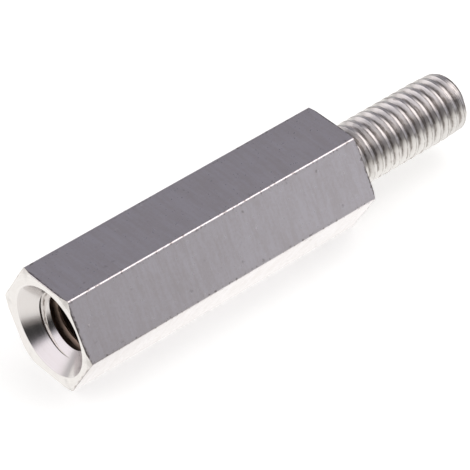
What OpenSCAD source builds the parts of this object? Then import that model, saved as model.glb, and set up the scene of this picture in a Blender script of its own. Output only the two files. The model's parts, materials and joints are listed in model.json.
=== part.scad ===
// Male-female hex standoff: a hexagonal bar with a countersunk, tapped blind hole
// in one end and a threaded stud on the other, turned from one piece of bar.
//
// The axis lies along X. The origin is the centre of the shoulder that the stud
// grows from: the body runs to -X and the stud to +X. The bar lies on one of its
// flats, which faces -Z. All sizes are in millimetres and angles in degrees.

/* [Hexagonal body] */
// Width of the body across its flats
across_flats = 5; // [4.8:0.1:8]
// Length of the hexagonal body, without the stud
body_length = 16; // [12:0.5:50]
// Radius along the six long edges of the bar
edge_radius = 0.1; // [0.05:0.05:0.4]

/* [Corner chamfers at both ends] */
// Length along the axis that each chamfer takes off the corners
corner_chamfer = 0.1; // [0.05:0.01:0.15]
// Slope of the chamfer, measured from the end face
corner_angle = 20; // [18:1:45]

/* [Tapped hole] */
// Diameter of the hole over the crests of its inner thread
hole_d = 2.5; // [2:0.1:3.4]
// Depth of the hole at its full diameter, from the open end
hole_depth = 10; // [5:0.5:14]
// Point angle of the drill that made the hole
drill_angle = 118; // [90:1:140]
// Diameter of the countersink at the open end
countersink_d = 4.25; // [3.6:0.05:4.6]
// Full angle of the countersink
countersink_angle = 82; // [60:2:120]

/* [Stud] */
// Diameter of the stud over the crests of its thread
stud_d = 2.94; // [2.6:0.02:4.4]
// Length of the stud, from the shoulder to its tip
stud_length = 7; // [4:0.5:16]
// Diameter of the flat end of the tip
tip_d = 2.5; // [1.8:0.02:2.8]
// Slope of the tip's chamfer, measured from the axis
tip_angle = 45; // [20:5:60]

/* [Thread of the stud] */
// Distance from one groove of the thread to the next
thread_pitch = 0.5; // [0.45:0.05:0.7]
// Depth of the grooves
thread_depth = 0.28; // [0.1:0.02:0.3]
// Distance from the shoulder to the middle of the first groove
first_groove = 0.46; // [0.4:0.02:1.2]

/* [Hidden] */

// Smoothness of the round shapes
$fn = 96;
// How far a cutting shape reaches past a face, and the stud reaches into the body
overlap = 0.5;
// Half the angle between the two sides of a groove
half_groove_angle = 30;

SIDES = 6;
half_side_angle = 180 / SIDES;

// Distance from the axis to a sharp corner of the hexagon
corner_r = across_flats / 2 / cos(half_side_angle);
// Distance from the axis to the centre of an edge's rounding
edge_centre_r = corner_r - edge_radius / cos(half_side_angle);
// Distance along a flat from the sharp corner to where the rounding starts
edge_start = edge_radius * tan(half_side_angle);
// Radius of the round land that the corner chamfers leave on an end face
land_r = corner_r - corner_chamfer / tan(corner_angle);

hole_r = hole_d / 2;
countersink_r = countersink_d / 2;
countersink_slope = tan(countersink_angle / 2);
countersink_depth = (countersink_r - hole_r) / countersink_slope;
drill_point_length = hole_r / tan(drill_angle / 2);

stud_r = stud_d / 2;
tip_r = tip_d / 2;
tip_chamfer = (stud_r - tip_r) / tan(tip_angle);

root_r = stud_r - thread_depth;
// Half the width of a groove at its bottom and at its mouth
root_half = thread_pitch / 16;
mouth_half = root_half + thread_depth * tan(half_groove_angle);
groove_room = stud_length - tip_chamfer - mouth_half - first_groove;
groove_count = floor(groove_room / thread_pitch) + 1;

// Point at a distance from the origin in a direction
function polar(distance, angle) = distance * [cos(angle), sin(angle)];

// Where the rounding of the edge at an angle meets the flats on either side of it
function edge_points(angle) = let (
        sharp = polar(corner_r, angle),
        turn = 90 + half_side_angle
    ) [
        sharp + polar(edge_start, angle - turn),
        sharp + polar(edge_start, angle + turn)
    ];

// Section of the bar: a hexagon with rounded corners and a flat across X
module bar_section() {
    edge_angles = [for (k = [0 : SIDES - 1]) (2 * k + 1) * half_side_angle];
    polygon([for (angle = edge_angles) each edge_points(angle)]);
    for (angle = edge_angles)
        rotate(angle) translate([edge_centre_r, 0]) circle(r = edge_radius);
}

// Round envelope of the body, which slopes away past the land at both ends
module chamfer_envelope() {
    outer_r = corner_r + overlap;
    outer_drop = (outer_r - land_r) * tan(corner_angle);
    rotate_extrude()
        polygon([
            [0, -body_length],
            [land_r, -body_length],
            [outer_r, -body_length + outer_drop],
            [outer_r, -outer_drop],
            [land_r, 0],
            [0, 0]
        ]);
}

// Hexagonal bar from the open end up to the shoulder
module hex_body() {
    intersection() {
        translate([0, 0, -body_length]) linear_extrude(body_length) bar_section();
        chamfer_envelope();
    }
}

// Drilled hole with its countersunk mouth, as the shape to cut away
module drilled_hole() {
    translate([0, 0, -body_length])
        rotate_extrude()
            polygon([
                [0, -overlap],
                [countersink_r + overlap * countersink_slope, -overlap],
                [hole_r, countersink_depth],
                [hole_r, hole_depth],
                [0, hole_depth + drill_point_length]
            ]);
}

// Outline of one groove, as a notch in the side of the stud
function groove(middle) = [
    [stud_r, middle - mouth_half],
    [root_r, middle - root_half],
    [root_r, middle + root_half],
    [stud_r, middle + mouth_half]
];

// Stud with a chamfered tip. Its thread is drawn as rings, a pitch apart.
module stud() {
    rotate_extrude()
        polygon([
            [0, -overlap],
            [stud_r, -overlap],
            for (k = [0 : groove_count - 1]) each groove(first_groove + k * thread_pitch),
            [stud_r, stud_length - tip_chamfer],
            [tip_r, stud_length],
            [0, stud_length]
        ]);
}

// The whole standoff, drawn standing on its shoulder and then laid along X
module standoff() {
    color([0.72, 0.71, 0.73])
        rotate([0, 90, 0])
            difference() {
                union() {
                    hex_body();
                    stud();
                }
                drilled_hole();
            }
}

standoff();
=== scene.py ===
"""Models a male-female hex standoff with its two threads, and a plain stage to show it on.

The axis lies along X. The origin is the centre of the shoulder, the body runs to -X and
the stud to +X, and the bar lies on one of its flats. All lengths are in metres.
"""

import json
import math
from contextlib import contextmanager

import bpy
from mathutils import Matrix, Vector


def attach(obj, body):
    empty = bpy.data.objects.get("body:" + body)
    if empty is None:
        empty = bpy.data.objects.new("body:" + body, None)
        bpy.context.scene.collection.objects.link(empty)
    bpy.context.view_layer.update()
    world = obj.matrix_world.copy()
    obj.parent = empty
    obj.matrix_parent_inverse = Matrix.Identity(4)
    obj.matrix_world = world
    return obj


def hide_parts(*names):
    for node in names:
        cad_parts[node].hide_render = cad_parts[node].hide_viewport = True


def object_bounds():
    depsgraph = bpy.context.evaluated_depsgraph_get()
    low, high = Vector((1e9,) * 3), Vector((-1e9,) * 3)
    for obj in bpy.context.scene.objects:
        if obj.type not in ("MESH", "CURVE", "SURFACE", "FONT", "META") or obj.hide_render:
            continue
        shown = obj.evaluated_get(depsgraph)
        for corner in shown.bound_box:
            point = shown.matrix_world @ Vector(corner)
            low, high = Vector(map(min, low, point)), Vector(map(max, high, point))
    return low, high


bl_info = {
    "name": "Hex Standoff",
    "version": (1, 0, 0),
    "blender": (4, 5, 0),
    "location": "3D View > Sidebar > Standoff",
    "description": "Models a threaded hex standoff and a plain stage to show it on",
    "category": "Object",
}

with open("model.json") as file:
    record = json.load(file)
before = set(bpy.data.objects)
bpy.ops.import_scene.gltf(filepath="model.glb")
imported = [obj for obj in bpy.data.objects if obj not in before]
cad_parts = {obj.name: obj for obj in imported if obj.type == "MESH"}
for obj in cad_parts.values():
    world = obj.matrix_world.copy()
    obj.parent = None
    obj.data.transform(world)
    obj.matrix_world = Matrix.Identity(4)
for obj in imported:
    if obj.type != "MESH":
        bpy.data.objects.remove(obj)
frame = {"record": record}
CAD_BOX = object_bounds()
MOUNTS = {mount["name"]: mount for mount in frame["record"]["mounts"]}

MM = 0.001
MICRON = 1e-6
FULL_TURN = 2 * math.pi
SIDE_TURN = math.radians(60)
NODE = "standoff"
BODY = "root"

# Sizes that the solid part has already
ACROSS_FLATS = CAD_BOX[1].z - CAD_BOX[0].z
BODY_LENGTH = -CAD_BOX[0].x
STUD_LENGTH = CAD_BOX[1].x
STUD_RADIUS = MOUNTS["stud"]["dims"]["r_mm"] * MM
STUD_STRAIGHT = MOUNTS["stud"]["dims"]["length_mm"] * MM
HOLE_RADIUS = MOUNTS["tapped_hole"]["dims"]["r_mm"] * MM
HOLE_STRAIGHT = MOUNTS["tapped_hole"]["dims"]["length_mm"] * MM
HOLE_MIDDLE = BODY_LENGTH + MOUNTS["tapped_hole"]["pos_m"][0]


# Settings --------------------------------------------------------------------------------


def length(name, description, default, low=0.0):
    """A length that a user can set, in metres."""
    return bpy.props.FloatProperty(
        name=name,
        description=description,
        default=default,
        min=low,
        precision=5,
        subtype="DISTANCE",
        unit="LENGTH",
    )


def angle(name, description, default):
    """An angle that a user can set. The default is in degrees."""
    return bpy.props.FloatProperty(
        name=name,
        description=description,
        default=math.radians(default),
        subtype="ANGLE",
    )


def factor(name, description, default, high=1.0):
    """A plain number that a user can set, from nought up."""
    return bpy.props.FloatProperty(
        name=name,
        description=description,
        default=default,
        min=0.0,
        max=high,
    )


def colour(name, description, default):
    """A colour that a user can set."""
    return bpy.props.FloatVectorProperty(
        name=name,
        description=description,
        default=default,
        size=3,
        min=0.0,
        max=1.0,
        subtype="COLOR",
    )


class StandoffSizes(bpy.types.PropertyGroup):
    """Sizes of the turned bar."""

    across_flats: length("Across flats", "Width of the body across its flats", ACROSS_FLATS)
    body_length: length("Body length", "Length of the hexagonal body", BODY_LENGTH)
    edge_radius: length("Edge radius", "Rounding of the six long edges", 0.1 * MM)
    corner_chamfer: length("Corner chamfer", "Length of the chamfers on the corners", 0.1 * MM)
    corner_angle: angle("Corner angle", "Slope of the chamfers, measured from the end face", 20)
    hole_radius: length("Hole radius", "Radius over the crests of the inner thread", HOLE_RADIUS)
    hole_depth: length("Hole depth", "Depth at full diameter", HOLE_MIDDLE + HOLE_STRAIGHT / 2)
    sink_depth: length(
        "Countersink depth", "Depth of the countersink", HOLE_MIDDLE - HOLE_STRAIGHT / 2
    )
    sink_angle: angle("Countersink angle", "Full angle of the countersink", 82)
    hole_side: length(
        "Hole to the side", "How far the hole lies off the axis towards +Y", -0.2 * MM, low=-1.0
    )
    hole_up: length(
        "Hole upwards", "How far the hole lies off the axis upwards", 0.08 * MM, low=-1.0
    )
    drill_angle: angle("Drill angle", "Point angle of the drill", 118)
    stud_radius: length("Stud radius", "Radius over the crests of the stud's thread", STUD_RADIUS)
    stud_length: length("Stud length", "Length from the shoulder to the tip", STUD_LENGTH)
    tip_chamfer: length(
        "Tip chamfer", "Length of the chamfer at the tip", STUD_LENGTH - STUD_STRAIGHT
    )


class ThreadSizes(bpy.types.PropertyGroup):
    """Sizes of the two threads."""

    pitch: length("Pitch", "Advance of the threads in one turn", 0.5 * MM, low=0.1 * MM)
    flank_angle: angle("Flank angle", "Full angle between two flanks", 60)
    stud_root_radius: length("Stud root", "Radius at the bottom of the stud's thread", 1.2 * MM)
    stud_phase: angle("Stud phase", "Turn of the stud's thread about the axis", 70.6)
    run_out: length("Run-out", "Length over which the thread fades at the shoulder", 0.75 * MM)
    tip_slimming: length("Tip slimming", "How much slimmer the stud gets at its tip", 0.06 * MM)
    tap_radius: length("Tap radius", "Radius at the bottom of the inner thread", 1.6 * MM)
    tap_depth: length("Tapped depth", "Length of hole that has a thread", 8 * MM)
    tap_phase: angle("Tap phase", "Turn of the inner thread about the axis", 280)


class FinishSettings(bpy.types.PropertyGroup):
    """Colours and roughness of the plating."""

    plating: colour("Plating", "Colour of the plating on the flats", (0.83, 0.81, 0.83))
    stain: colour("Stain", "Colour of the marks and of the duller edges", (0.6, 0.55, 0.52))
    turned: colour("Turned faces", "Colour of the end faces and chamfers", (0.735, 0.72, 0.71))
    sunk: colour("Countersink", "Colour of the countersink", (0.64, 0.62, 0.615))
    thread_plating: colour("Thread plating", "Colour of the stud's thread", (0.76, 0.745, 0.73))
    thread_stain: colour("Thread stain", "Colour of the fine lines on the stud", (0.3, 0.27, 0.25))
    bore_plating: colour("Bore plating", "Colour near the mouth of the hole", (0.55, 0.52, 0.505))
    # The bore's crest and groove colours stand for its duller plating and for painted shade deep
    # in the hole
    bore_brown: colour("Bore crests", "Colour of the crests deep in the hole", (0.45, 0.345, 0.28))
    bore_dark: colour("Bore grooves", "Colour of the grooves in the hole", (0.12, 0.085, 0.065))
    # Grime also stands for the painted shade in the stud's thread roots
    grime: colour("Grime", "Colour of thread roots, burrs and specks", (0.14, 0.115, 0.1))
    drawn_roughness: factor("Drawn roughness", "Roughness of the bar's flats", 0.3)
    turned_roughness: factor("Turned roughness", "Roughness of the turned faces", 0.2)
    thread_roughness: factor("Thread roughness", "Roughness of the stud's thread", 0.34)


class StageSettings(bpy.types.PropertyGroup):
    """Camera, floor and lights."""

    azimuth: angle("Azimuth", "Direction of the camera round the part", -40.93)
    elevation: angle("Elevation", "Height of the camera above the horizon", 40.74)
    roll: angle("Roll", "Turn of the camera about its line of sight", -0.55)
    distance: length("Distance", "Distance from the camera to its target", 139.5 * MM)
    focal_length: factor("Focal length", "Focal length in millimetres", 251.3, high=1000.0)
    target_along: length("Target along", "Place of the target along the axis", -8 * MM, low=-1.0)
    target_right: length("Target right", "Shift of the target to the right", 1.775 * MM, low=-1.0)
    target_up: length("Target up", "Shift of the target upwards in view", 0.479 * MM, low=-1.0)
    floor_size: length("Floor size", "Side of the square floor", 1.2)


# Modelling -------------------------------------------------------------------------------

LATHE_STEPS = 120
THREAD_STEPS = 96
ROUNDING_STEPS = 4
EDGE_STEPS = 6
MERGE_DISTANCE = 1e-7
SMOOTH_ANGLE = math.radians(18)

# How far the tools reach past the bar, and how far their ends lie past the bar's own ends
OVERCUT = 0.5 * MM
CLEARANCE = OVERCUT / 4

# Small sizes that the tools leave behind, with the tap's crest as a share of the pitch
RIM_BREAK = 0.03 * MM
SINK_ROUNDING = 0.05 * MM
TIP_ROUNDING = 0.1 * MM
END_ROUNDING = 0.06 * MM
CREST_WIDTH = 0.16 * MM
CREST_ROUNDING = 0.04 * MM
ROOT_ROUNDING = 0.01 * MM
TAP_CREST_SHARE = 1 / 16

# How far a tool's root lies inside the surface that it meets, and the tip's tool outside a crest
ROOT_MARGIN = 0.02 * MM
CREST_MARGIN = MM / 100


def deselect_all():
    """Leaves nothing selected."""
    for chosen in bpy.context.selected_objects:
        chosen.select_set(False)


def activate(piece):
    """Makes a piece the only one selected."""
    deselect_all()
    piece.select_set(True)
    bpy.context.view_layer.objects.active = piece


@contextmanager
def editing(piece, select="SELECT"):
    """Edit mode on a piece, with everything or nothing selected to start with."""
    activate(piece)
    bpy.ops.object.mode_set(mode="EDIT")
    bpy.ops.mesh.select_mode(type="VERT")
    bpy.ops.mesh.select_all(action=select)
    yield
    bpy.ops.object.mode_set(mode="OBJECT")


def fix_place():
    """Puts the active piece's place, turn and scale into its mesh."""
    bpy.ops.object.transform_apply(location=True, rotation=True, scale=True)


def apply_modifier(piece, kind, **settings):
    """Adds a modifier to a piece and applies it."""
    activate(piece)
    modifier = piece.modifiers.new(kind.lower(), kind)
    for name, value in settings.items():
        setattr(modifier, name, value)
    bpy.ops.object.modifier_apply(modifier=modifier.name)


def combine(piece, tool, operation):
    """Cuts a piece with a tool, joins the two or keeps what they share. The tool is used up."""
    apply_modifier(
        piece,
        "BOOLEAN",
        object=tool,
        operation=operation,
        solver="EXACT",
        material_mode="TRANSFER",
    )
    bpy.data.objects.remove(tool)


def rounded(points):
    """Outline with its corners turned into arcs. Each point is (along, radius, rounding)."""
    outline = []
    for before, corner, after in zip([None, *points], points, [*points[1:], None]):
        place = Vector(corner[:2])
        if before is None or after is None or corner[2] == 0:
            outline.append(place)
            continue
        back = (Vector(before[:2]) - place).normalized()
        ahead = (Vector(after[:2]) - place).normalized()
        half = back.angle(ahead) / 2
        centre = place + (back + ahead).normalized() * corner[2] / math.sin(half)
        start = place + back * corner[2] / math.tan(half) - centre
        sweep = math.copysign(math.pi - 2 * half, back.cross(ahead) * -1)
        for step in range(ROUNDING_STEPS + 1):
            turn = sweep * step / ROUNDING_STEPS
            turned = Vector((
                start.x * math.cos(turn) - start.y * math.sin(turn),
                start.x * math.sin(turn) + start.y * math.cos(turn),
            ))
            outline.append(centre + turned)
    return outline


def draw_line(name, outline):
    """Line of joined points above the axis, drawn by extruding one vertex."""
    along, radius = outline[0]
    bpy.ops.mesh.primitive_plane_add(size=MM, location=(along, 0, radius))
    line = bpy.context.object
    line.name = name
    fix_place()
    with editing(line):
        bpy.ops.mesh.merge(type="CENTER")
        for before, after in zip(outline, outline[1:]):
            step = after - before
            bpy.ops.mesh.extrude_region_move(TRANSFORM_OT_translate={"value": (step.x, 0, step.y)})
    return line


def close_surface(piece):
    """Merges the doubles of a closed shape and turns its faces outwards."""
    with editing(piece):
        bpy.ops.mesh.remove_doubles(threshold=MERGE_DISTANCE)
        bpy.ops.mesh.normals_make_consistent(inside=False)


def lathe(name, points):
    """Solid turned from an outline that starts and ends on the axis."""
    piece = draw_line(name, rounded(points))
    with editing(piece):
        bpy.ops.mesh.spin(steps=LATHE_STEPS, angle=FULL_TURN, center=(0, 0, 0), axis=(1, 0, 0))
    close_surface(piece)
    return piece


def thread_outline(pitch, crest, crest_width, root, flank_angle, crest_rounding, root_rounding):
    """One pitch of a thread, from the middle of one root to the middle of the next."""
    flank = (crest - root) * math.tan(flank_angle / 2)
    crest_start = (pitch - crest_width) / 2
    if flank >= crest_start:
        raise RuntimeError("The flanks of a thread don't fit into its pitch")
    return rounded([
        (0, root, 0),
        (crest_start - flank, root, root_rounding),
        (crest_start, crest, crest_rounding),
        (pitch - crest_start, crest, crest_rounding),
        (pitch - crest_start + flank, root, root_rounding),
        (pitch, root, 0),
    ])


def threaded_rod(name, outline, pitch, start, end, phase):
    """Right-handed thread along X, cut square at both ends."""
    # Turns at each end that the cuts take off
    spare = 2
    first = start - spare * pitch - pitch * phase / FULL_TURN
    turns = math.ceil((end - first) / pitch) + spare
    rod = draw_line(name, [point + Vector((first, 0)) for point in outline])
    apply_modifier(
        rod,
        "SCREW",
        axis="X",
        angle=FULL_TURN,
        steps=THREAD_STEPS,
        render_steps=THREAD_STEPS,
        iterations=turns,
        screw_offset=pitch,
    )
    with editing(rod):
        bpy.ops.mesh.remove_doubles(threshold=MERGE_DISTANCE)
        for place, normal in ((start, -1), (end, 1)):
            bpy.ops.mesh.select_all(action="SELECT")
            bpy.ops.mesh.bisect(
                plane_co=(place, 0, 0),
                plane_no=(normal, 0, 0),
                use_fill=True,
                clear_outer=True,
                threshold=MERGE_DISTANCE,
            )
    close_surface(rod)
    return rod


def corner_radius(sizes):
    """Distance from the axis to the sharp corners of the hexagon."""
    return sizes.across_flats / math.sqrt(3)


def hex_bar(sizes, drawn, turned):
    """Hexagonal bar with rounded long edges. Its ends take the turned finish."""
    bpy.ops.mesh.primitive_cylinder_add(
        vertices=6,
        radius=corner_radius(sizes),
        depth=sizes.body_length,
        location=(-sizes.body_length / 2, 0, 0),
        rotation=(0, math.pi / 2, 0),
    )
    bar = bpy.context.object
    bar.name = "hex_standoff"
    fix_place()
    with editing(bar, "DESELECT"):
        bpy.ops.object.mode_set(mode="OBJECT")
        for edge in bar.data.edges:
            ends = [bar.data.vertices[index].co.x for index in edge.vertices]
            edge.select = abs(ends[0] - ends[1]) > sizes.body_length / 2
        bpy.ops.object.mode_set(mode="EDIT")
        bpy.ops.mesh.select_mode(type="EDGE")
        offset = sizes.edge_radius * math.tan(SIDE_TURN / 2)
        bpy.ops.mesh.bevel(offset=offset, offset_type="OFFSET", segments=EDGE_STEPS)
    bar.data.materials.append(drawn)
    bar.data.materials.append(turned)
    for face in bar.data.polygons:
        face.material_index = 1 if abs(face.normal.x) > 0.5 else 0
    return bar


def chamfer_tool(sizes, turned):
    """Round envelope of the body: what lies outside it is cut off the corners."""
    corner = corner_radius(sizes)
    slope = math.tan(sizes.corner_angle)
    land = corner - sizes.corner_chamfer / slope
    outer = corner + OVERCUT
    drop = (outer - land) * slope
    # Past the end faces the slopes go on, so that no face of the tool lies on a face of the bar
    inner = land - CLEARANCE / slope
    mouth = -sizes.body_length
    tool = lathe("chamfer_tool", [
        (mouth - CLEARANCE, 0, 0),
        (mouth - CLEARANCE, inner, 0),
        (mouth + drop, outer, 0),
        (-drop, outer, 0),
        (CLEARANCE, inner, 0),
        (CLEARANCE, 0, 0),
    ])
    tool.data.materials.append(turned)
    return tool


def put_off_axis(tool, sizes):
    """Moves a tool of the hole off the bar's axis, to the hole's own."""
    with editing(tool):
        bpy.ops.transform.translate(value=(0, sizes.hole_side, sizes.hole_up))


def drill_tool(sizes, turned, bore):
    """Drill and countersink in one, which break the rim and leave two finishes."""
    slope = math.tan(sizes.sink_angle / 2)
    rim = sizes.hole_radius + sizes.sink_depth * slope
    mouth = -sizes.body_length
    point = sizes.hole_radius / math.tan(sizes.drill_angle / 2)
    lip = rim + RIM_BREAK
    tool = lathe("drill_tool", [
        (mouth - OVERCUT, 0, 0),
        (mouth - OVERCUT, lip, 0),
        (mouth, lip, 0),
        (mouth + RIM_BREAK / 4, rim, 0),
        (mouth + sizes.sink_depth, sizes.hole_radius, SINK_ROUNDING),
        (mouth + sizes.hole_depth, sizes.hole_radius, 0),
        (mouth + sizes.hole_depth + point, 0, 0),
    ])
    tool.data.materials.append(turned)
    tool.data.materials.append(bore)
    for face in tool.data.polygons:
        face.material_index = 1 if face.center.x > mouth + sizes.sink_depth else 0
    put_off_axis(tool, sizes)
    return tool


def tap_tool(sizes, threads, finish):
    """Thread-cutting tap, slimmer than the hole between its teeth and tapered at its end."""
    pitch = threads.pitch
    mouth = -sizes.body_length
    root = sizes.hole_radius - ROOT_MARGIN
    outline = thread_outline(
        pitch=pitch,
        crest=threads.tap_radius,
        crest_width=pitch * TAP_CREST_SHARE,
        root=root,
        flank_angle=threads.flank_angle,
        crest_rounding=0,
        root_rounding=0,
    )
    end = mouth + threads.tap_depth
    tap = threaded_rod("tap_tool", outline, pitch, mouth - OVERCUT, end, threads.tap_phase)
    # Its last four turns get shallower and shallower
    taper = lathe("taper_tool", [
        (mouth - 2 * OVERCUT, 0, 0),
        (mouth - 2 * OVERCUT, threads.tap_radius + OVERCUT, 0),
        (end - 4 * pitch, threads.tap_radius + OVERCUT, 0),
        (end + OVERCUT, root / 2, 0),
        (end + OVERCUT, 0, 0),
    ])
    for tool in (tap, taper):
        tool.data.materials.append(finish)
    combine(tap, taper, "INTERSECT")
    put_off_axis(tap, sizes)
    return tap


def threaded_stud(sizes, threads, finish, turned):
    """Stud with its thread, which starts at the tip's chamfer and fades at the shoulder."""
    pitch = threads.pitch
    outline = thread_outline(
        pitch=pitch,
        crest=sizes.stud_radius,
        crest_width=CREST_WIDTH,
        root=threads.stud_root_radius,
        flank_angle=threads.flank_angle,
        crest_rounding=CREST_ROUNDING,
        root_rounding=ROOT_ROUNDING,
    )
    end = sizes.stud_length + OVERCUT
    stud = threaded_rod("stud", outline, pitch, -OVERCUT, end, threads.stud_phase)
    stud.data.materials.append(finish)
    outer = sizes.stud_radius + OVERCUT
    # The last three turns are a little slimmer, and end in a chamfer
    slim = sizes.stud_radius - threads.tip_slimming
    tip = sizes.stud_radius - sizes.tip_chamfer
    taper_start = sizes.stud_length - 3 * pitch
    tip_tool = lathe("tip_tool", [
        (-2 * OVERCUT, 0, 0),
        (-2 * OVERCUT, outer, 0),
        (taper_start, outer, 0),
        (taper_start, sizes.stud_radius + CREST_MARGIN, 0),
        (sizes.stud_length - (slim - tip), slim, TIP_ROUNDING),
        (sizes.stud_length, tip, END_ROUNDING),
        (sizes.stud_length, 0, 0),
    ])
    tip_tool.data.materials.append(finish)
    tip_tool.data.materials.append(turned)
    for face in tip_tool.data.polygons:
        face.material_index = 1 if face.normal.x > 0.5 else 0
    combine(stud, tip_tool, "INTERSECT")
    collar = lathe("run_out", [
        (-CLEARANCE, 0, 0),
        (-CLEARANCE, sizes.stud_radius, 0),
        (threads.run_out, threads.stud_root_radius - ROOT_MARGIN, 0),
        (threads.run_out, 0, 0),
    ])
    collar.data.materials.append(finish)
    combine(stud, collar, "UNION")
    return stud


def clean_joints(piece, stud_radius):
    """Takes out any disc that the join leaves inside the shoulder, and closes any slit."""
    thin = MERGE_DISTANCE * 10
    reach = stud_radius + MERGE_DISTANCE * 100
    for face in piece.data.polygons:
        corners = [piece.data.vertices[index].co for index in face.vertices]
        at_shoulder = all(abs(corner.x) < thin for corner in corners)
        in_stud = all(math.hypot(corner.y, corner.z) < reach for corner in corners)
        face.select = at_shoulder and in_stud
    for item in (*piece.data.edges, *piece.data.vertices):
        item.select = False
    activate(piece)
    bpy.ops.object.mode_set(mode="EDIT")
    bpy.ops.mesh.select_mode(type="FACE")
    bpy.ops.mesh.delete(type="ONLY_FACE")
    bpy.ops.mesh.select_mode(type="VERT")
    bpy.ops.mesh.select_all(action="SELECT")
    bpy.ops.mesh.remove_doubles(threshold=MERGE_DISTANCE)
    bpy.ops.mesh.select_all(action="DESELECT")
    bpy.ops.mesh.select_non_manifold(
        extend=False, use_multi_face=False, use_non_contiguous=False, use_verts=False
    )
    bpy.ops.mesh.fill_holes(sides=0)
    bpy.ops.mesh.select_all(action="SELECT")
    bpy.ops.mesh.delete_loose(use_faces=False)
    bpy.ops.object.mode_set(mode="OBJECT")


def smooth_shading(piece):
    """Smooths the round surfaces and keeps the flats flat and the corners sharp."""
    activate(piece)
    bpy.ops.object.shade_smooth_by_angle(angle=SMOOTH_ANGLE)
    apply_modifier(piece, "WEIGHTED_NORMAL", mode="FACE_AREA", weight=50, keep_sharp=True)


# Materials -------------------------------------------------------------------------------

# Sockets of a Mix node that blends colours
MIX_FACTOR = 0
MIX_FIRST = 6
MIX_SECOND = 7
MIX_RESULT = 2

# Fine lines to each pitch of a thread, and the radius past which the stud's thread roots get no
# grime and no painted shade
LINES_PER_PITCH = 4
ROOT_SHADE_RADIUS = 1.3 * MM

# Depths over which the bore turns from bright plating to duller plating with painted shade, and
# radii over which painted shade darkens its grooves
BORE_SHADE_DEPTHS = (0.98 * MM, 1.15 * MM)
GROOVE_SHADE_RADII = (1.3 * MM, 1.5 * MM)


class Tree:
    """Short names for building a node tree."""

    def __init__(self, tree):
        tree.nodes.clear()
        self.tree = tree

    def add(self, kind, inputs=None, **settings):
        """Adds a node, sets it up and feeds its inputs with sockets or values."""
        node = self.tree.nodes.new("ShaderNode" + kind)
        for name, value in settings.items():
            setattr(node, name, value)
        for name, value in (inputs or {}).items():
            socket = node.inputs[name]
            if isinstance(value, bpy.types.NodeSocket):
                self.tree.links.new(value, socket)
            else:
                socket.default_value = value
        return node

    def math(self, operation, *values, clamp=False):
        """Result of a Math node."""
        node = self.add("Math", dict(enumerate(values)), operation=operation, use_clamp=clamp)
        return node.outputs[0]

    def plus(self, value, other, share):
        """Value with a share of another added to it."""
        return self.math("ADD", value, self.math("MULTIPLY", other, share))

    def blend(self, amount, first, second):
        """Mix of two colours."""
        inputs = {MIX_FACTOR: amount, MIX_FIRST: first, MIX_SECOND: second}
        return self.add("Mix", inputs, data_type="RGBA").outputs[MIX_RESULT]

    def ramp(self, value, low, high, low_out=0.0, high_out=1.0):
        """Value mapped smoothly from one range to another and held there."""
        inputs = {
            "Value": value,
            "From Min": low,
            "From Max": high,
            "To Min": low_out,
            "To Max": high_out,
        }
        return self.add("MapRange", inputs, interpolation_type="SMOOTHSTEP").outputs["Result"]

    def noise(self, vector, scale, detail=2.0, roughness=0.5):
        """Noise value at a vector."""
        inputs = {"Vector": vector, "Scale": scale, "Detail": detail, "Roughness": roughness}
        return self.add("TexNoise", inputs).outputs["Fac"]

    def vector(self, along, side, up):
        """Vector made of three values."""
        return self.add("CombineXYZ", {"X": along, "Y": side, "Z": up}).outputs[0]

    def split(self, vector):
        """The three values of a vector."""
        return self.add("SeparateXYZ", {0: vector}).outputs

    def dot(self, first, second):
        """Dot product of two vectors."""
        node = self.add("VectorMath", {0: first, 1: second}, operation="DOT_PRODUCT")
        return node.outputs["Value"]

    def rays(self):
        """Whether the camera sees a surface itself, and whether metal or glass shows it."""
        path = self.add("LightPath").outputs
        shown = self.math("ADD", path["Is Glossy Ray"], path["Is Transmission Ray"], clamp=True)
        return path["Is Camera Ray"], shown


def opaque(rgb):
    """Colour with an alpha of one."""
    return (*rgb, 1.0)


def new_material(name):
    """Empty node material."""
    material = bpy.data.materials.new(name)
    material.use_nodes = True
    return material, Tree(material.node_tree)


def millimetres(tree):
    """Place on the piece, in millimetres, as a vector and as its three values."""
    coordinates = tree.add("TexCoord").outputs["Object"]
    scaling = tree.add("VectorMath", {0: coordinates, "Scale": 1 / MM}, operation="SCALE")
    place = scaling.outputs[0]
    return (place, *tree.split(place))


def plated(tree, base, roughness, normal, grain_pull=0.0):
    """Bright metal. With a grain pull, its lines run round the axis and stretch what it shows."""
    inputs = {"Base Color": base, "Metallic": 1.0, "Roughness": roughness, "Normal": normal}
    if grain_pull:
        inputs["Anisotropic"] = grain_pull
        inputs["Anisotropic Rotation"] = 0.25
        inputs["Tangent"] = tree.add("Tangent", direction_type="RADIAL", axis="X").outputs[0]
    shader = tree.add("BsdfPrincipled", inputs)
    tree.add("OutputMaterial", {"Surface": shader.outputs[0]})


def bumped(tree, height, depth, normal=None):
    """Normal bumped by a height between 0 and 1, which stands for a depth in metres."""
    inputs = {"Height": height, "Distance": depth, "Strength": 1.0}
    if normal is not None:
        inputs["Normal"] = normal
    return tree.add("Bump", inputs).outputs["Normal"]


def axis_radius(tree, side, up):
    """Distance from the axis."""
    squares = [tree.math("MULTIPLY", way, way) for way in (side, up)]
    return tree.math("SQRT", tree.math("ADD", *squares))


def about_hole(tree, side, up, off_axis):
    """The two ways across the bar, counted from an axis that may lie off the bar's own."""
    ways = zip((side, up), off_axis)
    return [tree.math("SUBTRACT", way, shift / MM) for way, shift in ways]


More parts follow.
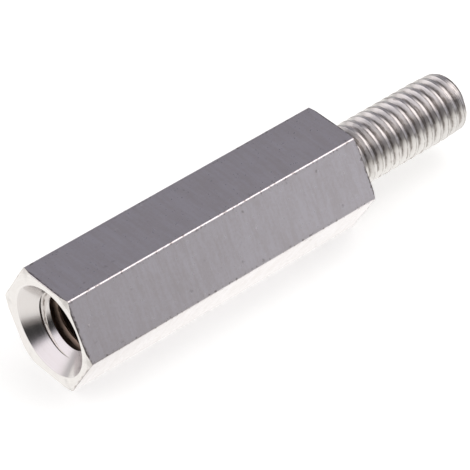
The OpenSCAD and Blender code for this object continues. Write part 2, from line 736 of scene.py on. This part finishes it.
def hex_place(tree, side, up, across_flats):
    """Distances from the nearest flat and, along that flat, from the nearest long edge, in mm."""
    radius = axis_radius(tree, side, up)
    turn = tree.math("DIVIDE", tree.math("ARCTAN2", up, side), SIDE_TURN)
    part = tree.math("SUBTRACT", tree.math("FRACT", turn), 0.5)
    lean = tree.math("MULTIPLY", part, SIDE_TURN)
    half_flat = across_flats / MM / 2
    outwards = tree.math("MULTIPLY", radius, tree.math("COSINE", lean))
    depth = tree.math("SUBTRACT", half_flat, outwards)
    across = tree.math("MULTIPLY", radius, tree.math("ABSOLUTE", tree.math("SINE", lean)))
    inset = tree.math("SUBTRACT", half_flat * math.tan(SIDE_TURN / 2), across)
    return depth, inset


def specks(tree, place, scale, size, share):
    """Round specks of one size in millimetres, in a share of the cells of a pattern."""
    inputs = {"Vector": place, "Scale": scale, "Randomness": 1.0}
    cells = tree.add("TexVoronoi", inputs, feature="F1")
    chosen = tree.math("LESS_THAN", tree.split(cells.outputs["Color"])["X"], share)
    radius = size * scale
    wobble = tree.math("MULTIPLY", tree.noise(place, 9.0, detail=3), 3 * radius)
    reach = tree.math("SUBTRACT", cells.outputs["Distance"], wobble)
    spot = tree.ramp(reach, -1.4 * radius, -0.4 * radius, 1.0, 0.0)
    return tree.math("MULTIPLY", spot, chosen)


def drawn_finish(finish, sizes):
    """Plating over the drawn flats: faint marks across the bar, specks, and duller edges."""
    material, tree = new_material("drawn_plating")
    place, along, side, up = millimetres(tree)
    _, inset = hex_place(tree, side, up, sizes.across_flats)
    half_length = sizes.body_length / MM / 2
    from_middle = tree.math("ABSOLUTE", tree.math("ADD", along, half_length))
    end_inset = tree.math("SUBTRACT", half_length, from_middle)
    # The marks are fine along the bar and long across it
    stretched = [tree.math("MULTIPLY", way, 0.55) for way in (side, up)]
    marks_place = tree.vector(tree.math("MULTIPLY", along, 4.5), *stretched)
    marks = tree.noise(marks_place, 1.0, detail=4, roughness=0.6)
    cloud = tree.noise(place, 0.8, detail=3)
    grain = tree.noise(place, 7.0, detail=2, roughness=0.6)
    ragged = tree.noise(place, 7.0, detail=3)
    # Stain: in the marks and clouds, and in a strip along the long edges
    texture = tree.plus(tree.math("MULTIPLY", marks, 0.65), grain, 0.35)
    tone = tree.ramp(texture, 0.36, 0.64, 0.0, 0.32)
    tone = tree.math("ADD", tone, tree.ramp(cloud, 0.35, 0.7, 0.0, 0.08))
    strip = tree.ramp(tree.plus(inset, ragged, 0.35), 0.15, 0.48, 0.42, 0.0)
    strip = tree.math("MULTIPLY", strip, tree.ramp(inset, 0.05, 0.1))
    tone = tree.math("MAXIMUM", tone, strip)
    base = tree.blend(tone, opaque(finish.plating), opaque(finish.stain))
    # Grime: in specks, mostly near the long edges, in a dark ragged line along each end and in
    # nicks
    near_edge = tree.ramp(inset, 0.25, 1.1, 0.4, 0.1)
    dark = tree.math("MULTIPLY", specks(tree, place, 1.6, 0.1, 0.6), near_edge)
    end_line = tree.ramp(tree.plus(end_inset, ragged, 0.26), 0.15, 0.27, 0.9, 0.0)
    dark = tree.math("MAXIMUM", dark, end_line)
    nicks = tree.ramp(inset, 0.06, 0.16, 0.55, 0.0)
    nicks = tree.math("MULTIPLY", nicks, tree.ramp(ragged, 0.56, 0.66))
    dark = tree.math("MAXIMUM", dark, nicks)
    base = tree.blend(dark, base, opaque(finish.grime))
    normal = bumped(tree, marks, 2 * MICRON)
    normal = bumped(tree, cloud, 4 * MICRON, normal)
    normal = bumped(tree, specks(tree, place, 1.1, 0.07, 0.35), 6 * MICRON, normal)
    middle = finish.drawn_roughness
    roughness = tree.ramp(grain, 0.2, 0.8, middle - 0.03, middle + 0.03)
    plated(tree, base, roughness, normal)
    return material


def turned_finish(finish, name, sizes, tint, off_axis=(0.0, 0.0)):
    """Plating over faces cut on the lathe: fine rings round the cutter, and smudged edges."""
    material, tree = new_material(name)
    place, _, side, up = millimetres(tree)
    depth, inset = hex_place(tree, side, up, sizes.across_flats)
    side, up = about_hole(tree, side, up, off_axis)
    ring_place = tree.vector(axis_radius(tree, side, up), 0.0, 0.0)
    rings = tree.noise(ring_place, 14.0, detail=4, roughness=0.7)
    grain = tree.noise(place, 9.0, detail=2)
    cloud = tree.noise(place, 3.0, detail=3)
    # Stain: in the rings and clouds, and along the outer edges
    tone = tree.ramp(rings, 0.35, 0.7, 0.0, 0.2)
    tone = tree.math("ADD", tone, tree.ramp(cloud, 0.4, 0.75, 0.0, 0.12))
    worn = tree.ramp(tree.plus(depth, cloud, 0.22), 0.1, 0.2, 0.5, 0.0)
    tone = tree.math("MAXIMUM", tone, worn)
    base = tree.blend(tone, opaque(tint), opaque(finish.stain))
    # Grime: along the outer edges, and most in the corners
    smudged = tree.ramp(tree.plus(depth, cloud, 0.25), 0.1, 0.16, 0.4, 0.0)
    corner = tree.ramp(tree.plus(inset, cloud, 0.8), 0.4, 0.85, 0.22, 0.0)
    smudged = tree.math("MAXIMUM", smudged, corner)
    base = tree.blend(smudged, base, opaque(finish.grime))
    normal = bumped(tree, rings, 1.6 * MICRON)
    normal = bumped(tree, grain, 0.8 * MICRON, normal)
    middle = finish.turned_roughness
    roughness = tree.ramp(rings, 0.2, 0.8, middle - 0.04, middle + 0.06)
    plated(tree, base, roughness, normal)
    return material


def helix_lines(tree, place, along, side, up, pitch):
    """Fine lines that follow a thread, from 0 to 1. They wander and break off."""
    turn = tree.math("DIVIDE", tree.math("ARCTAN2", up, side), FULL_TURN)
    pitches = tree.math("SUBTRACT", tree.math("DIVIDE", along, pitch / MM), turn)
    phase = tree.math("MULTIPLY", pitches, LINES_PER_PITCH * FULL_TURN)
    wander = tree.math("MULTIPLY", tree.noise(place, 1.2, detail=2), 7.0)
    wave = tree.math("SINE", tree.math("ADD", phase, wander))
    faded = tree.ramp(tree.noise(place, 3.0, detail=2), 0.35, 0.6, 0.3, 1.0)
    return tree.math("MULTIPLY", tree.ramp(wave, 0.1, 0.9), faded)


def thread_finish(finish, threads):
    """Plating over the stud's thread: lines that follow the helix, and grime with painted shade in
    its roots.
    """
    material, tree = new_material("thread_plating")
    place, along, side, up = millimetres(tree)
    radius = axis_radius(tree, side, up)
    lines = helix_lines(tree, place, along, side, up, threads.pitch)
    grain = tree.noise(place, 5.0, detail=3)
    normal = bumped(tree, lines, 3 * MICRON)
    normal = bumped(tree, grain, 3 * MICRON, normal)
    stained = tree.ramp(grain, 0.5, 0.8, 0.0, 0.2)
    stained = tree.math("ADD", stained, tree.math("MULTIPLY", lines, 0.7), clamp=True)
    base = tree.blend(stained, opaque(finish.thread_plating), opaque(finish.thread_stain))
    # Painted shade with grime: the roots get darker towards the bottom of the thread
    reach = tree.plus(radius, tree.math("SUBTRACT", grain, 0.5), 0.16)
    roots = tree.ramp(reach, threads.stud_root_radius / MM, ROOT_SHADE_RADIUS / MM, 0.5, 0.0)
    base = tree.blend(roots, base, opaque(finish.grime))
    plated(tree, base, finish.thread_roughness, normal, grain_pull=0.8)
    return material


def bore_finish(finish, sizes, pitch, off_axis):
    """Inside of the hole, which the plating hardly reached: bright at its mouth, then duller and
    darkened by painted shade.
    """
    material, tree = new_material("bore_plating")
    place, along, side, up = millimetres(tree)
    side, up = about_hole(tree, side, up, off_axis)
    radius = axis_radius(tree, side, up)
    grain = tree.noise(place, 7.0, detail=3)
    lines = helix_lines(tree, place, along, side, up, pitch)
    normal = bumped(tree, grain, 2 * MICRON)
    normal = bumped(tree, lines, 4 * MICRON, normal)
    streaks = tree.math("MULTIPLY", lines, 0.8)
    bright = tree.blend(streaks, opaque(finish.bore_plating), opaque(finish.grime))
    # Painted shade: the grooves get darker towards their roots, and the fine lines add to it
    grooves = tree.ramp(radius, GROOVE_SHADE_RADII[0] / MM, GROOVE_SHADE_RADII[1] / MM, 0.0, 0.6)
    grooves = tree.math("MAXIMUM", grooves, lines)
    dull_and_shaded = tree.blend(grooves, opaque(finish.bore_brown), opaque(finish.bore_dark))
    # Deeper in, the plating gets duller and painted shade darkens it
    start, end = ((depth - sizes.body_length) / MM for depth in BORE_SHADE_DEPTHS)
    deep = tree.ramp(along, start, end)
    base = tree.blend(deep, bright, dull_and_shaded)
    bare = finish.turned_roughness
    roughness = tree.ramp(deep, 0.0, 1.0, bare, bare + 0.3)
    plated(tree, base, roughness, normal)
    return material


# Stage -----------------------------------------------------------------------------------

SENSOR_WIDTH = 36.0
CLIP_END = 10.0
WHITE = (1.0, 1.0, 1.0)
ROOM_LIGHT = (0.75, 0.75, 0.75)
FLOOR_COLOUR = (0.8, 0.795, 0.79)

# What the camera's own rays add to the floor, which brings it to white
CAMERA_LIFT = 0.6

# The pool of light that the metal sees on the floor: its tone beside the part and away from it,
# the distances between which it fades, and its share in what the metal sees there
POOL_NEAR = (1.27, 1.25, 1.22)
POOL_FAR = (0.2, 0.18, 0.17)
POOL_FADE = (2 * MM, 23 * MM)
POOL_SHARE = 0.95

# How many times as fast it fades past each end, behind the part and in front of each end, and
# where the stud's end starts in front: a share of the way from the middle to the tip
FADE_PAST_HOLE = 0.4
FADE_PAST_STUD = 1.0
FADE_BEHIND = 0.35
FADE_BEFORE_HOLE = 2.8
FADE_BEFORE_STUD = 1.0
FRONT_SHARE = 0.2

# How much it dims from the shoulder to the tip, and how far along both places are shifted
STUD_DIMMING = 0.2
DIMMING_SHIFT = 2 * MM

# Tones of the room by height: the sine of the elevation, and the tone there
ROOM_STEPS = (
    (0.0, (0.34, 0.32, 0.33)),
    (0.16, (0.345, 0.333, 0.354)),
    (0.27, (0.2, 0.19, 0.205)),
    (0.66, (0.185, 0.178, 0.215)),
    (1.0, (0.3, 0.29, 0.32)),
)

# Panels of the room: azimuth, elevation, width and height in degrees, softness and tone
ROOM_PANELS = (
    (60, 2, 130, 34, 0.5, (0.75, 0.74, 0.76)),
    (-30, 9.5, 55, 18, 0.35, (0.75, 0.74, 0.79)),
    (155, 4, 72, 28, 0.3, (1.5, 1.41, 1.41)),
    (148, 37, 80, 30, 0.25, (1.36, 1.3, 1.36)),
    (10, 68, 44, 14, 0.3, (0.6, 0.59, 0.62)),
    (-30, 53, 60, 38, 0.3, (1.85, 1.72, 1.7)),
    (-144, 5, 34, 43, 0.3, (0.035, 0.035, 0.035)),
)


def floor_finish():
    """Pale floor. The camera sees it white with a soft shadow, and the metal a pool of light."""
    material, tree = new_material("pale_floor")
    seen, shown = tree.rays()
    lift = tree.math("MULTIPLY", seen, CAMERA_LIFT)
    pale = tree.add("BsdfDiffuse", {"Color": opaque(FLOOR_COLOUR)})
    lifted = tree.add("Emission", {"Color": opaque(FLOOR_COLOUR), "Strength": lift})
    lit = tree.add("AddShader", {0: pale.outputs[0], 1: lifted.outputs[0]})
    along, side, _ = tree.split(tree.add("TexCoord").outputs["Object"])
    middle = (STUD_LENGTH - BODY_LENGTH) / 2
    half = (STUD_LENGTH + BODY_LENGTH) / 2
    from_middle = tree.math("SUBTRACT", along, middle)
    # Distances from the part, each times how fast the pool fades in its direction
    beyond = tree.math("SUBTRACT", tree.math("ABSOLUTE", from_middle), half)
    end_fade = tree.ramp(from_middle, -half, half, FADE_PAST_HOLE, FADE_PAST_STUD)
    beyond = tree.math("MULTIPLY", beyond, end_fade)
    # The front is towards -Y, so its factors are negative
    front_end = FRONT_SHARE * half
    front_fade = tree.ramp(from_middle, -half, front_end, -FADE_BEFORE_HOLE, -FADE_BEFORE_STUD)
    before = tree.math("MULTIPLY", side, front_fade)
    behind = tree.math("MULTIPLY", side, FADE_BEHIND)
    aside = tree.math("MAXIMUM", before, behind)
    away = axis_radius(tree, tree.math("MAXIMUM", beyond, 0.0), aside)
    dim_end = STUD_LENGTH + DIMMING_SHIFT
    dimmed = tree.ramp(along, DIMMING_SHIFT, dim_end, 0.0, STUD_DIMMING)
    fading = tree.math("MAXIMUM", tree.ramp(away, *POOL_FADE), dimmed)
    tone = tree.blend(fading, opaque(POOL_NEAR), opaque(POOL_FAR))
    pool = tree.add("Emission", {"Color": tone, "Strength": 1.0})
    share = tree.math("MULTIPLY", shown, POOL_SHARE)
    both = tree.add("MixShader", {0: share, 1: lit.outputs[0], 2: pool.outputs[0]})
    tree.add("OutputMaterial", {"Surface": both.outputs[0]})
    return material


def add_floor(settings, height):
    """Square floor under the bar."""
    bpy.ops.mesh.primitive_plane_add(size=settings.floor_size, location=(0, 0, height))
    floor = bpy.context.object
    floor.name = "floor"
    fix_place()
    floor.data.materials.append(floor_finish())


def towards(azimuth, elevation):
    """Unit vector to a place in the room, in degrees. Azimuth is counted from +X towards +Y."""
    turn, rise = math.radians(azimuth), math.radians(elevation)
    level = math.cos(rise)
    return Vector((math.cos(turn) * level, math.sin(turn) * level, math.sin(rise)))


def add_softbox(name, azimuth, elevation, distance, side, power):
    """Square area lamp that faces the origin."""
    direction = towards(azimuth, elevation)
    bpy.ops.object.light_add(type="AREA", location=direction * distance)
    lamp = bpy.context.object
    lamp.name = name
    lamp.rotation_euler = direction.to_track_quat("Z", "Y").to_euler()
    lamp.data.shape = "SQUARE"
    lamp.data.size = side
    lamp.data.energy = power
    lamp.visible_glossy = False


def hang_panel(tree, direction, room, panel):
    """Adds a soft-edged rectangular panel to the room that the metal shows."""
    azimuth, elevation, width, height, softness, tint = panel
    across = towards(azimuth + 90, 0)
    upwards = towards(azimuth, elevation + 90)
    sides = []
    for axis, size in ((across, width), (upwards, height)):
        reach = tree.math("ABSOLUTE", tree.dot(direction, axis))
        sides.append(tree.math("DIVIDE", reach, math.sin(math.radians(size / 2))))
    inside = tree.ramp(tree.math("MAXIMUM", *sides), 1 - softness, 1 + softness, 1.0, 0.0)
    facing = tree.dot(direction, towards(azimuth, elevation))
    inside = tree.math("MULTIPLY", inside, tree.math("GREATER_THAN", facing, 0.0))
    return tree.blend(inside, room, opaque(tint))


def add_world():
    """Room round the stage: white to the camera, and a soft grey studio in the metal."""
    world = bpy.data.worlds.new("studio_room")
    bpy.context.scene.world = world
    world.use_nodes = True
    tree = Tree(world.node_tree)
    direction = tree.add("TexCoord").outputs["Generated"]
    walls = tree.add("ValToRGB", {"Fac": tree.split(direction)["Z"]})
    # The ramp starts with two steps, which become the lowest and the highest
    steps = walls.color_ramp.elements
    for step, (position, tint) in zip(steps, (ROOM_STEPS[0], ROOM_STEPS[-1])):
        step.position = position
        step.color = opaque(tint)
    for position, tint in ROOM_STEPS[1:-1]:
        steps.new(position).color = opaque(tint)
    room = walls.outputs["Color"]
    for panel in ROOM_PANELS:
        room = hang_panel(tree, direction, room, panel)
    seen, shown = tree.rays()
    colour_there = tree.blend(shown, opaque(ROOM_LIGHT), room)
    colour_there = tree.blend(seen, colour_there, opaque(WHITE))
    background = tree.add("Background", {"Color": colour_there, "Strength": 1.0})
    tree.add("OutputWorld", {"Surface": background.outputs[0]})


def add_camera(settings):
    """Camera that looks down on the part along its own line of sight."""
    across, tilt = settings.azimuth, settings.elevation
    back = Vector((
        math.sin(across) * math.cos(tilt),
        -math.cos(across) * math.cos(tilt),
        math.sin(tilt),
    ))
    right = (-back).cross(Vector((0, 0, 1))).normalized()
    up = right.cross(-back)
    cosine, sine = math.cos(settings.roll), math.sin(settings.roll)
    right, up = cosine * right + sine * up, cosine * up - sine * right
    target = Vector((settings.target_along, 0, 0))
    target = target + settings.target_right * right + settings.target_up * up
    bpy.ops.object.camera_add(location=target + back * settings.distance)
    camera = bpy.context.object
    camera.name = "camera"
    camera.rotation_euler = Matrix((right, up, back)).transposed().to_euler()
    camera.data.sensor_width = SENSOR_WIDTH
    camera.data.lens = settings.focal_length
    camera.data.clip_start = settings.distance / 100
    camera.data.clip_end = CLIP_END
    bpy.context.scene.camera = camera


# Operators -------------------------------------------------------------------------------


class STANDOFF_OT_make_standoff(bpy.types.Operator):
    """Model the whole standoff from bar: chamfers, tapped hole and threaded stud"""

    bl_idname = "standoff.make_standoff"
    bl_label = "Make Standoff"

    def execute(self, context):
        sizes = context.scene.standoff_sizes
        threads = context.scene.standoff_threads
        finish = context.scene.standoff_finish
        off_axis = (sizes.hole_side, sizes.hole_up)
        drawn = drawn_finish(finish, sizes)
        turned = turned_finish(finish, "turned_plating", sizes, finish.turned)
        sunk = turned_finish(finish, "countersink_plating", sizes, finish.sunk, off_axis)
        threaded = thread_finish(finish, threads)
        bore = bore_finish(finish, sizes, threads.pitch, off_axis)
        standoff = hex_bar(sizes, drawn, turned)
        combine(standoff, chamfer_tool(sizes, turned), "INTERSECT")
        combine(standoff, drill_tool(sizes, sunk, bore), "DIFFERENCE")
        combine(standoff, tap_tool(sizes, threads, bore), "DIFFERENCE")
        combine(standoff, threaded_stud(sizes, threads, threaded, turned), "UNION")
        clean_joints(standoff, sizes.stud_radius)
        nearly = 0.99
        reach = [corner[0] for corner in standoff.bound_box]
        too_short = max(reach) < nearly * sizes.stud_length
        if too_short or min(reach) > -nearly * sizes.body_length:
            raise RuntimeError("A cut or a join of the standoff failed")
        smooth_shading(standoff)
        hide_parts(NODE)
        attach(standoff, BODY)
        return {"FINISHED"}


class STANDOFF_OT_make_stage(bpy.types.Operator):
    """Set up the floor, the lights and the camera"""

    bl_idname = "standoff.make_stage"
    bl_label = "Make Stage"

    def execute(self, context):
        settings = context.scene.standoff_stage
        add_floor(settings, CAD_BOX[0].z)
        add_world()
        add_softbox(
            "overhead_softbox", azimuth=-20, elevation=62, distance=0.4, side=0.2, power=0.2
        )
        add_camera(settings)
        context.scene.view_settings.view_transform = "Standard"
        return {"FINISHED"}


class STANDOFF_PT_panel(bpy.types.Panel):
    """Sidebar panel with the standoff's steps and sizes"""

    bl_idname = "STANDOFF_PT_panel"
    bl_label = "Hex Standoff"
    bl_space_type = "VIEW_3D"
    bl_region_type = "UI"
    bl_category = "Standoff"

    def draw(self, context):
        layout = self.layout
        for operator in OPERATORS:
            layout.operator(operator.bl_idname)
        for name in SETTINGS:
            group = getattr(context.scene, name)
            box = layout.box()
            for prop in group.bl_rna.properties:
                if prop.identifier not in ("name", "rna_type"):
                    box.prop(group, prop.identifier)


SETTINGS = {
    "standoff_sizes": StandoffSizes,
    "standoff_threads": ThreadSizes,
    "standoff_finish": FinishSettings,
    "standoff_stage": StageSettings,
}
OPERATORS = (STANDOFF_OT_make_standoff, STANDOFF_OT_make_stage)
CLASSES = (*SETTINGS.values(), *OPERATORS, STANDOFF_PT_panel)


def register():
    """Registers the classes and hangs the settings on the scene."""
    for item in CLASSES:
        bpy.utils.register_class(item)
    for name, group in SETTINGS.items():
        setattr(bpy.types.Scene, name, bpy.props.PointerProperty(type=group))


def unregister():
    """Takes off what register put on."""
    for name in SETTINGS:
        delattr(bpy.types.Scene, name)
    for item in reversed(CLASSES):
        bpy.utils.unregister_class(item)


def main():
    """Makes the standoff and its stage."""
    register()
    bpy.ops.standoff.make_standoff()
    bpy.ops.standoff.make_stage()


if __name__ == "__main__":
    main()
